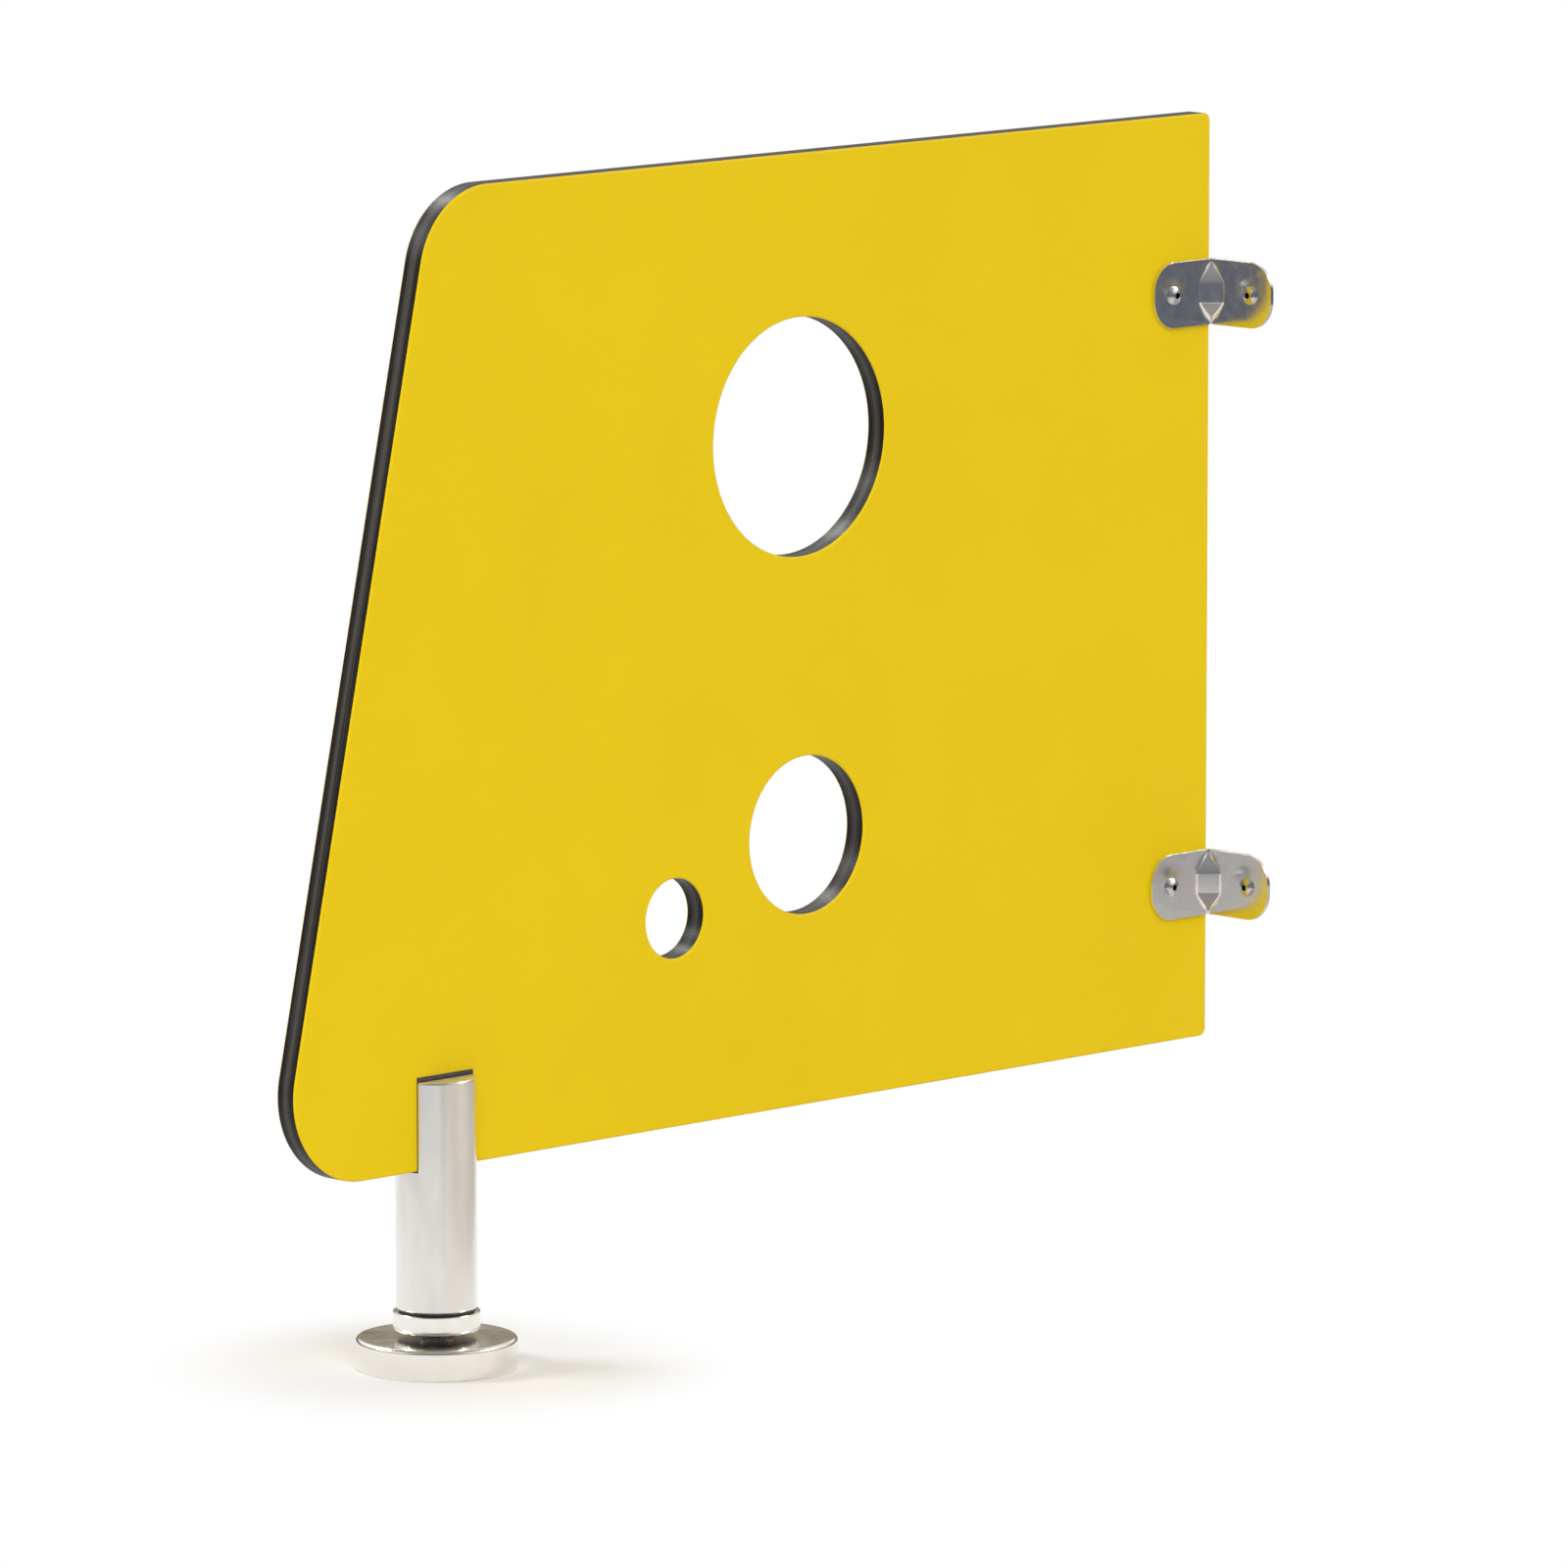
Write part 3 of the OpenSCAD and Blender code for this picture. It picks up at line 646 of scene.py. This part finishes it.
# The threaded inserts. Two brass sleeves, pressed into the laminate from the front. They lie behind
# the brackets and take the panel screws.
brass = new_finish("turned_brass", (0.62, 0.46, 0.20), 0.3, metallic=1.0)
polish(brass, mottle(brass, 2 * mm, detail=3), 0.24, 0.38)
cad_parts["panel_inserts"].data.materials[0] = brass

# The bracket screws. Four M5 pan heads with a hexagon socket and a plain neck under the head. Two run into
# the inserts in the panel, and two stand out through the wall flanges for the wall.
screw_r = 2.5 * mm
screw_pitch = 0.8 * mm
neck_r = 2.1 * mm
neck_end = sheet_t + screw_overlap
pan_r = 4.75 * mm
pan_h = 2.75 * mm
pan_ease = 0.25 * mm
dome_h = 1.95 * mm
dome_r = (pan_r ** 2 + dome_h ** 2) / (2 * dome_h)
dome_turn = math.asin(pan_r / dome_r)
dome_steps = 12
socket_r = 1.73 * mm
socket_floor = pan_h / 3      # above the head's seat
for node, axis, turn in (("panel_screws", 1, Matrix.Rotation(-math.pi / 2, 4, "X")),
                         ("wall_screws", 0, Matrix.Rotation(math.pi / 2, 4, "Y"))):
    low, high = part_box(node)
    seat = (low + high) / 2
    seat[axis] = low[axis] + pan_h
    for number, z in enumerate((low.z + pan_r, high.z - pan_r)):
        seat.z = z
        place = Matrix.Translation(seat) @ turn
        dome = [(dome_r * math.sin(angle), -pan_h + dome_r * (1 - math.cos(angle)), 0)
                for angle in (dome_turn * step / dome_steps for step in range(dome_steps + 1))]
        head = ring(*dome, (pan_r, 0, pan_ease), (neck_r, 0, 0), (neck_r, neck_end, 0), (0, neck_end, 0),
                    steps=64)
        shank = thread(screw_r, screw_pitch, sheet_t, high[axis] - seat[axis], steps=24)
        for part in (head, shank):
            bmesh.ops.transform(part, matrix=place, verts=part.verts[:])
        screw = shaped(new_object(f"{node[:-1]}_{number + 1}", head), [new_object("shank", shank)], "UNION")
        socket = bit(place @ Vector((0, 0, -socket_floor)), place @ Vector((0, 0, -pan_h - past)), socket_r,
                     sides=6)
        fit_piece(shaped(screw, [socket]), rolled, "panel", [node])
        paint_socket_shade(screw, place, socket_r, pan_h)

# The studio floor. Plain white paper that keeps the foot's soft shadow close by and reads as white further
# out. The metal mirrors it as white near the leg, as warm on the right, and as dark far away, on the wall's
# side and along a lane to the right of the leg, which gives the metal its contrast.
floor = bmesh.new()
bmesh.ops.create_grid(floor, x_segments=1, y_segments=1, size=40)
floor = new_object("studio_floor", floor)
paper = bpy.data.materials.new("white_paper")
paper.use_nodes = True
tree = paper.node_tree
tree.nodes.clear()
place = tree.nodes.new("ShaderNodeTexCoord").outputs["Object"]


def fade(tree, value, near, far):
    """A soft step from 0 to 1 as a value goes from near to far."""
    step = tree.nodes.new("ShaderNodeMapRange")
    step.interpolation_type = "SMOOTHSTEP"
    step.inputs["From Min"].default_value = near
    step.inputs["From Max"].default_value = far
    tree.links.new(value, step.inputs["Value"])
    return step.outputs["Result"]


def measured(tree, place, operation, vector):
    """The distance of a place from a point, or its reach along a direction."""
    step = tree.nodes.new("ShaderNodeVectorMath")
    step.operation = operation
    step.inputs[1].default_value = vector
    tree.links.new(place, step.inputs[0])
    return step.outputs["Value"]


def kinds_of_ray(tree):
    """Two values that are 1 for a ray from the camera, and for one that metal or glass sends on."""
    rays = tree.nodes.new("ShaderNodeLightPath").outputs
    return rays["Is Camera Ray"], arithmetic(tree, "ADD", rays["Is Glossy Ray"], rays["Is Transmission Ray"])


def tinted(tree, tone, tint, share, blend="MIX"):
    """A tone that a tint changes by a share."""
    step = tree.nodes.new("ShaderNodeMix")
    step.data_type = "RGBA"
    step.blend_type = blend
    step.inputs["B"].default_value = (*tint, 1)
    tree.links.new(share, step.inputs["Factor"])
    tree.links.new(tone, step.inputs["A"])
    return step.outputs["Result"]


def end_tree(tree, plain, bright, share, kind):
    """Ends a tree with its plain shader, which gives way to its bright one by a share."""
    shown = tree.nodes.new("ShaderNodeMixShader")
    output = tree.nodes.new(kind)
    tree.links.new(share, shown.inputs["Fac"])
    tree.links.new(plain.outputs[0], shown.inputs[1])
    tree.links.new(bright.outputs[0], shown.inputs[2])
    tree.links.new(shown.outputs[0], output.inputs["Surface"])


# Each pair is two distances in metres, between which a tone comes in softly. The tones of the lane and of
# the wall's side are shares of the full dark.
foot_shadow = (0.05, 0.15)
far_away = (0.9, 2.2)
past_wall, wall_tone = (0.62, 0.8), 0.55
lane_middle, lane_tone = 0.385, 0.8
near_stretch, near_sides = (0.62, 0.52), (0.1, 0.04)
far_stretch, far_sides = (0.6, 0.88), (0.16, 0.07)
warm_side, warm_near = (0.05, 0.45), (2.2, 0.9)
from_leg = measured(tree, place, "DISTANCE", (0, 0, 0))
from_middle = measured(tree, place, "DISTANCE", (0.35, -0.35, 0))
to_the_right = measured(tree, place, "DOT_PRODUCT", (0.71, -0.7, 0))
to_the_wall = measured(tree, place, "DOT_PRODUCT", (1, 0, 0))
off_lane = arithmetic(tree, "ABSOLUTE", arithmetic(tree, "SUBTRACT", to_the_right, lane_middle))
near_lane = arithmetic(tree, "MULTIPLY", fade(tree, off_lane, *near_sides),
                       fade(tree, from_leg, *near_stretch))
far_lane = arithmetic(tree, "MULTIPLY", fade(tree, off_lane, *far_sides),
                      fade(tree, from_leg, *far_stretch))
lane = arithmetic(tree, "MULTIPLY", arithmetic(tree, "MAXIMUM", near_lane, far_lane), lane_tone)
wall_side = arithmetic(tree, "MULTIPLY", fade(tree, to_the_wall, *past_wall), wall_tone)
darkness = arithmetic(tree, "MAXIMUM", lane, wall_side)
darkness = arithmetic(tree, "MAXIMUM", fade(tree, from_middle, *far_away), darkness)
by_camera, mirrored = kinds_of_ray(tree)
tone = ramp(tree, arithmetic(tree, "MULTIPLY", mirrored, darkness), (0, (1, 1, 1)), (1, (0.13, 0.14, 0.17)))
warmth = arithmetic(tree, "MULTIPLY", fade(tree, to_the_right, *warm_side), fade(tree, from_leg, *warm_near))
warmth = arithmetic(tree, "MULTIPLY", mirrored, warmth)
lit = tree.nodes.new("ShaderNodeBsdfDiffuse")
lit.inputs["Color"].default_value = (0.86, 0.85, 0.83, 1)
white = tree.nodes.new("ShaderNodeEmission")
warmed = tinted(tree, tone.outputs["Color"], (1, 0.91, 0.82), warmth, "MULTIPLY")
tree.links.new(warmed, white.inputs["Color"])
seen = arithmetic(tree, "ADD", by_camera, mirrored)
seen = arithmetic(tree, "MULTIPLY", seen, fade(tree, from_leg, *foot_shadow))
end_tree(tree, lit, white, seen, "ShaderNodeOutputMaterial")
floor.data.materials.append(paper)

# The studio walls. White screens stand round the object, between a brown skirting and a dim ceiling, and
# the camera's side is dim too. The camera sees plain white. Two strips light only what shines, and a wide
# soft lamp in front gives only plain light.
world = bpy.data.worlds.new("studio_walls")
bpy.context.scene.world = world
world.use_nodes = True
tree = world.node_tree
tree.nodes.clear()
place = tree.nodes.new("ShaderNodeTexCoord").outputs["Generated"]
height = tree.nodes.new("ShaderNodeSeparateXYZ")
tree.links.new(place, height.inputs[0])
screen, no_screen = 1, 0
# Each stop lies at the sine of an angle up from the horizon.
walls = ramp(tree, height.outputs["Z"],
             (0.0, (0.17, 0.12, 0.065, no_screen)), (0.2, (0.20, 0.155, 0.09, no_screen)),
             (0.36, (0.80, 0.80, 0.79, screen)), (0.6, (0.80, 0.80, 0.79, screen)),
             (0.74, (0.34, 0.34, 0.35, no_screen)))
camera_side = measured(tree, place, "DOT_PRODUCT", (-0.7, -0.71, 0))
camera_side = fade(tree, camera_side, near=0.5, far=0.75)
around = tree.nodes.new("ShaderNodeBackground")
dimmed = tinted(tree, walls.outputs["Color"], (0.22, 0.22, 0.22), camera_side)
tree.links.new(dimmed, around.inputs["Color"])
white = tree.nodes.new("ShaderNodeBackground")
white.inputs["Color"].default_value = (1, 1, 1, 1)
by_camera, mirrored = kinds_of_ray(tree)
mirrored = arithmetic(tree, "MULTIPLY", mirrored, walls.outputs["Alpha"])
mirrored = arithmetic(tree, "MULTIPLY", mirrored, arithmetic(tree, "SUBTRACT", 1.0, camera_side))
end_tree(tree, around, white, arithmetic(tree, "ADD", by_camera, mirrored), "ShaderNodeOutputWorld")


def looking(azimuth, elevation):
    """The direction to a lamp or a camera, in degrees from straight in front and up from level."""
    a, e = math.radians(azimuth), math.radians(elevation)
    return Vector((math.sin(a) * math.cos(e), -math.cos(a) * math.cos(e), math.sin(e)))


for name, azimuth, elevation, strength, angle, use in (("right_strip", 52, 38, 1.6, 14, "metal"),
                                                       ("back_strip", 166, 44, 1.0, 12, "metal"),
                                                       ("left_softbox", -138, 35, 1.2, 20, "both"),
                                                       ("front_softbox", -35, 35, 2.0, 50, "paint")):
    lamp = bpy.data.lights.new(name, "SUN")
    lamp.energy = strength
    lamp.angle = math.radians(angle)
    lamp = bpy.data.objects.new(name, lamp)
    lamp.visible_diffuse = use != "metal"
    lamp.visible_glossy = use != "paint"
    bpy.context.scene.collection.objects.link(lamp)
    lamp.rotation_euler = looking(azimuth, elevation).to_track_quat("Z", "Y").to_euler()

# The camera stands where the photograph was taken from, as fitted to the panel's edges and openings. The
# view has little perspective, so it stands well off and has a long lens.
camera = bpy.data.objects.new("camera", bpy.data.cameras.new("camera"))
bpy.context.scene.collection.objects.link(camera)
aim = Vector((0.238939, 0, 0.263092))
away = looking(-44.637, 8.6305)
distance = 6.166
camera.location = aim + away * distance
camera.rotation_euler = away.to_track_quat("Z", "Y").to_euler()
camera.data.sensor_width = 36
camera.data.lens = 283.09
camera.data.clip_start = 0.1
camera.data.clip_end = 100
bpy.context.scene.camera = camera
bpy.context.scene.view_settings.view_transform = "Standard"
